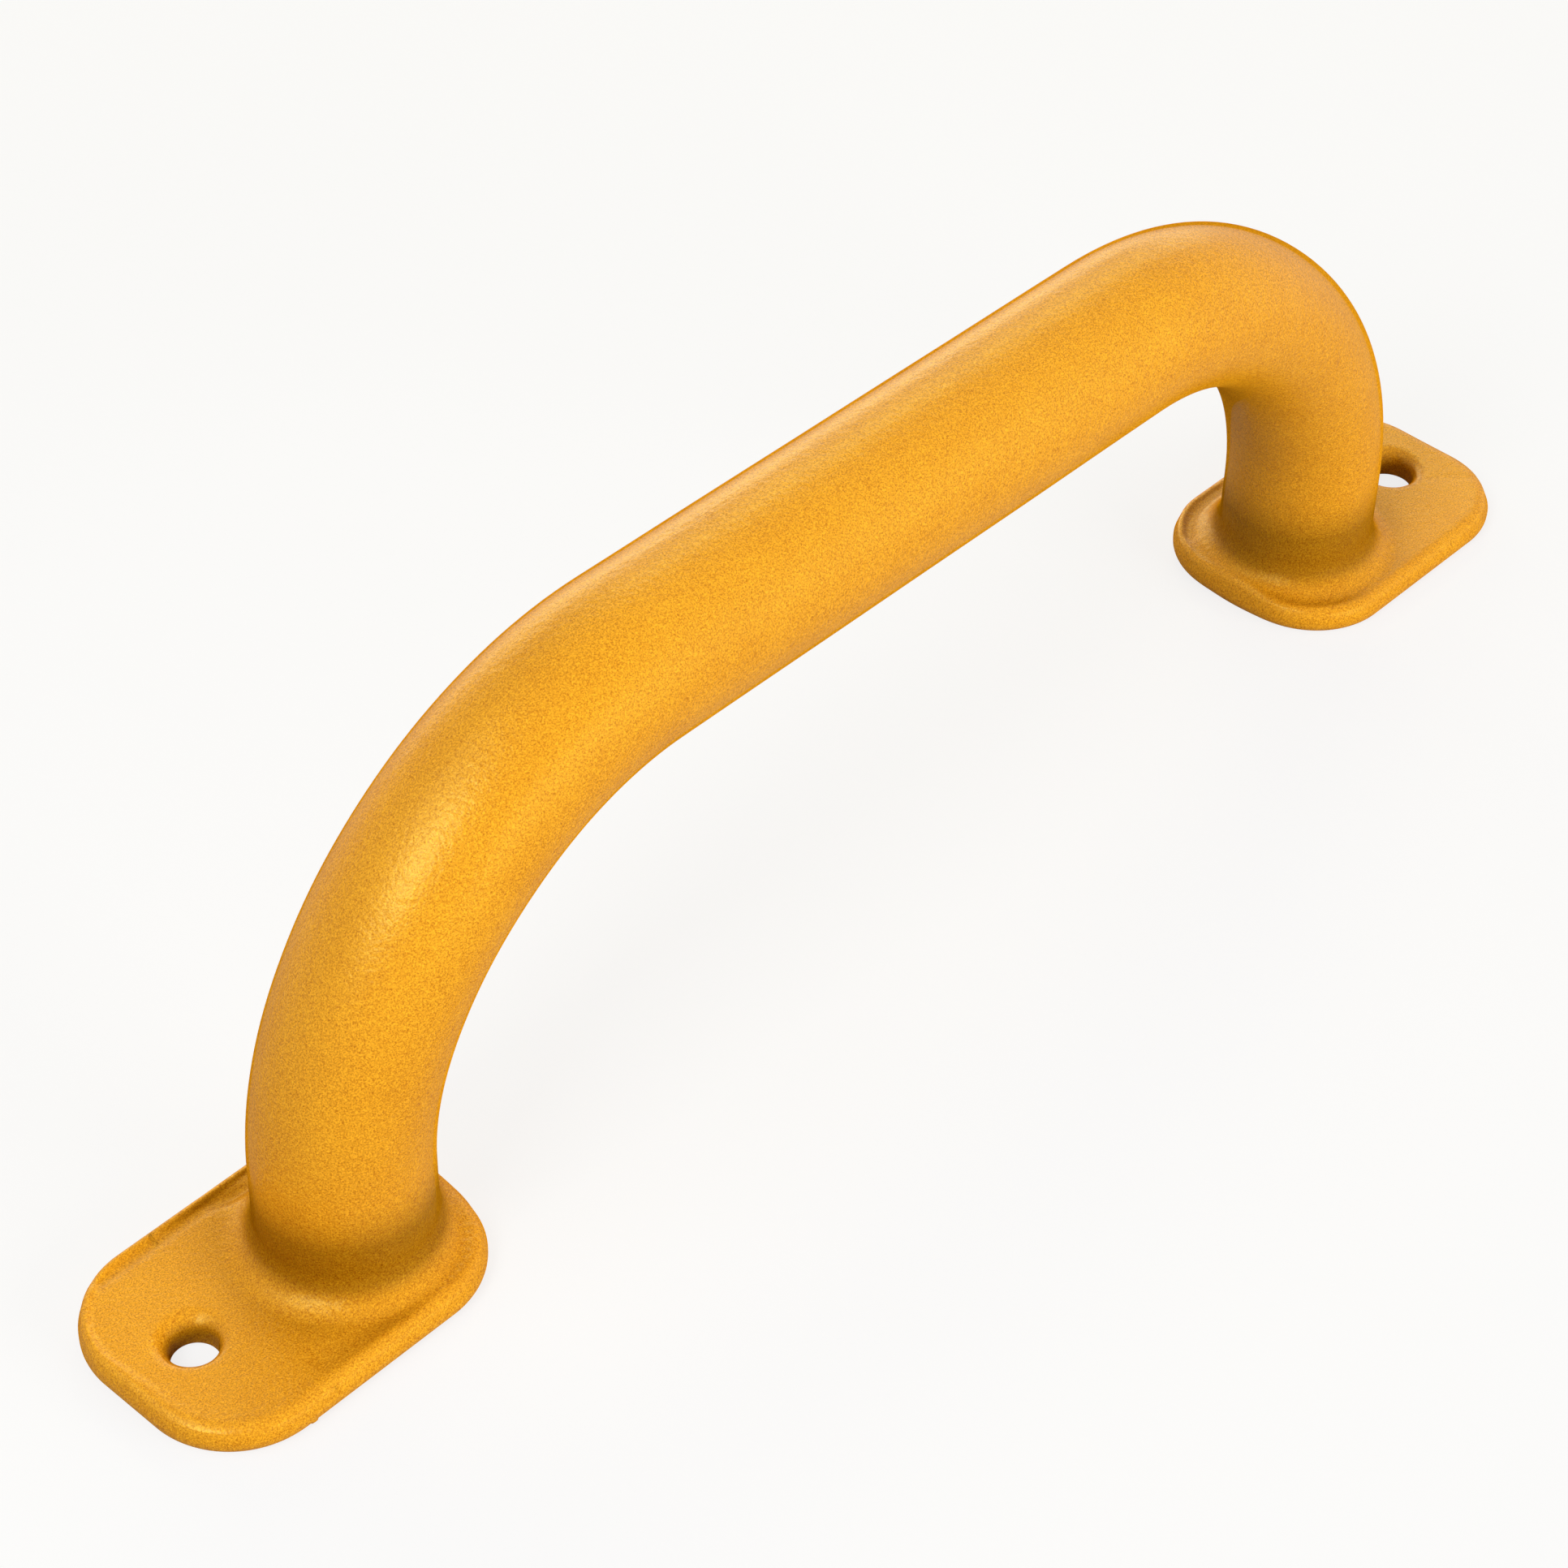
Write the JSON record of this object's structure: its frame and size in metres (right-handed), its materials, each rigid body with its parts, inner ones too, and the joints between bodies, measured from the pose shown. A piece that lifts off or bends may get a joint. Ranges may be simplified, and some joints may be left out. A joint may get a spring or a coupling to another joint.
{
  "type": "grab handle",
  "caption": "U-shaped steel tube grab handle with a flat foot plate and a screw hole at each end, dipped all over in soft orange vinyl.",
  "frame": {"origin": "on the mounting face, midway between the two screw holes", "axes": "+X along the grip, +Z away from the mounting face, +Y across the grip"},
  "size_m": [0.2864, 0.0384, 0.0855],
  "materials": {
    "orange_vinyl": "matte soft vinyl with a fine leathery grain, dip-coated",
    "mild_steel": "bare mild steel, hidden under the vinyl",
    "weld_steel": "as-welded steel bead, hidden under the vinyl"
  },
  "bodies": {
    "root": {"vinyl_coat": "orange_vinyl", "steel_tube": "mild_steel", "left_foot_plate": "mild_steel", "right_foot_plate": "mild_steel", "left_weld_bead": "weld_steel", "right_weld_bead": "weld_steel"}
  },
  "joints": []
}
